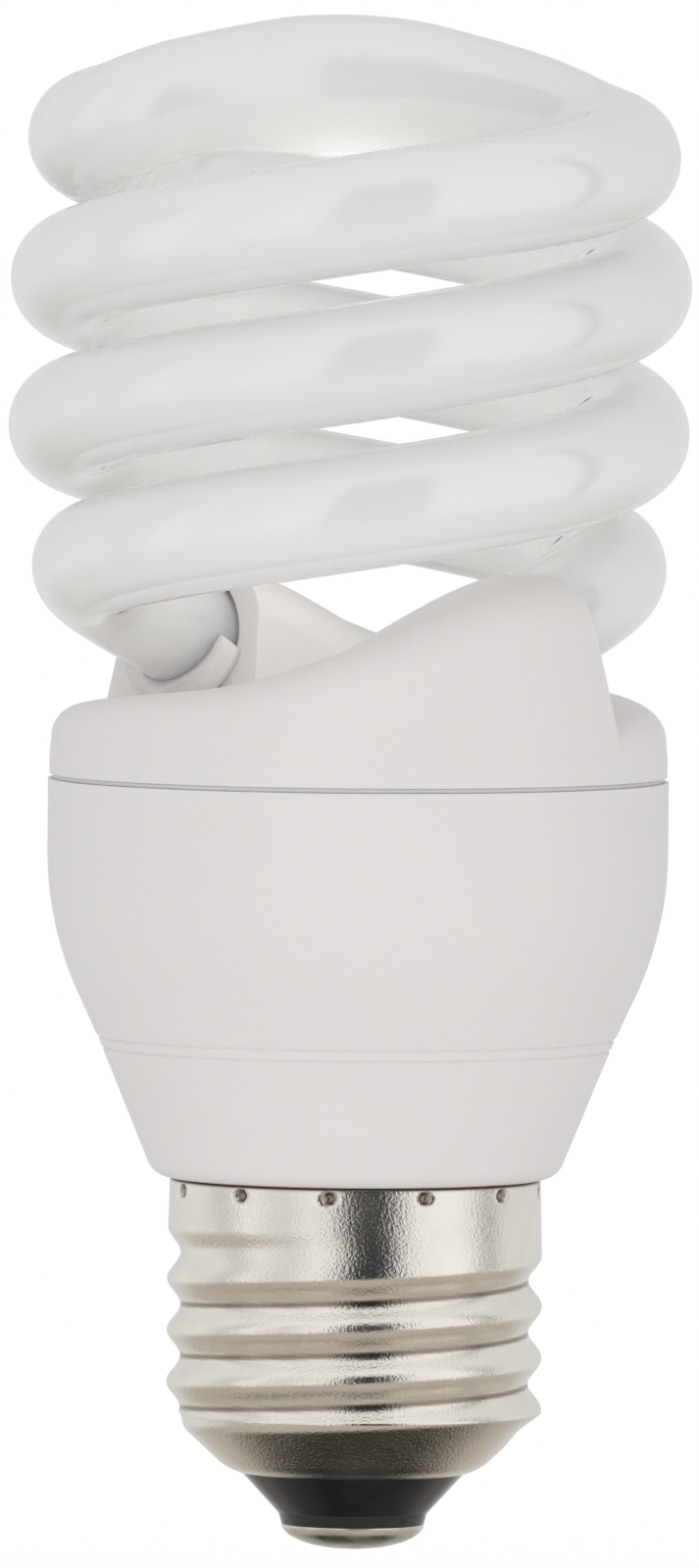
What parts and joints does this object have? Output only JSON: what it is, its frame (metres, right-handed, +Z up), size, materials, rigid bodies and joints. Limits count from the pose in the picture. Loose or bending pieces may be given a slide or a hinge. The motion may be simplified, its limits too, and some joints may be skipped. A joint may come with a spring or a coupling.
{
  "type": "spiral compact fluorescent lamp",
  "caption": "Spiral compact fluorescent lamp: a white coiled tube on a tapered ballast housing with a metal screw cap, for a ceiling or table lampholder.",
  "frame": {"origin": "tip of the centre contact, on the cap's axis", "axes": "+Z up the cap's axis towards the glass, -Y the front that the picture shows"},
  "size_m": [0.0478, 0.0476, 0.1075],
  "materials": {
    "tube_glass": "phosphor-coated, glossy",
    "housing_plastic": "satin moulded",
    "cap_metal": "nickel plated, rolled",
    "contact_metal": "tinned",
    "insulator_glass": "black, glossy",
    "board_laminate": "bare laminate",
    "capacitor_sleeve": "shrink sleeve",
    "ferrite": "sintered",
    "bobbin_plastic": "moulded",
    "copper_wire": "enamelled",
    "film_coating": "dipped",
    "disc_coating": "dipped",
    "moulded_black": "moulded",
    "resistor_coating": "lacquered",
    "tinned_wire": "tinned",
    "cement": "cured"
  },
  "bodies": {
    "root": {"discharge_tube": "tube_glass", "tube_holder": "housing_plastic", "ballast_housing": "housing_plastic", "screw_shell": "cap_metal", "cap_insulator": "insulator_glass", "centre_contact": "contact_metal", "circuit_board": "board_laminate", "smoothing_capacitor": "capacitor_sleeve", "choke_core": "ferrite", "choke_bobbin": "bobbin_plastic", "choke_winding": "copper_wire", "drive_toroid": "ferrite", "start_thermistor": "disc_coating", "fusible_resistor": "resistor_coating", "neutral_wire": "tinned_wire", "resonant_capacitor": "film_coating", "coupling_capacitor": "film_coating", "transistor_1": "moulded_black", "transistor_2": "moulded_black", "rectifier_diode_1": "moulded_black", "rectifier_diode_2": "moulded_black", "rectifier_diode_3": "moulded_black", "rectifier_diode_4": "moulded_black", "resistor_1": "resistor_coating", "resistor_2": "resistor_coating", "resistor_3": "resistor_coating", "seal_wire_1": "tinned_wire", "seal_wire_2": "tinned_wire", "seal_wire_3": "tinned_wire", "seal_wire_4": "tinned_wire", "wrap_pin_1": "tinned_wire", "wrap_pin_2": "tinned_wire", "wrap_pin_3": "tinned_wire", "wrap_pin_4": "tinned_wire", "tube_cement_1": "cement", "tube_cement_2": "cement"}
  },
  "joints": []
}
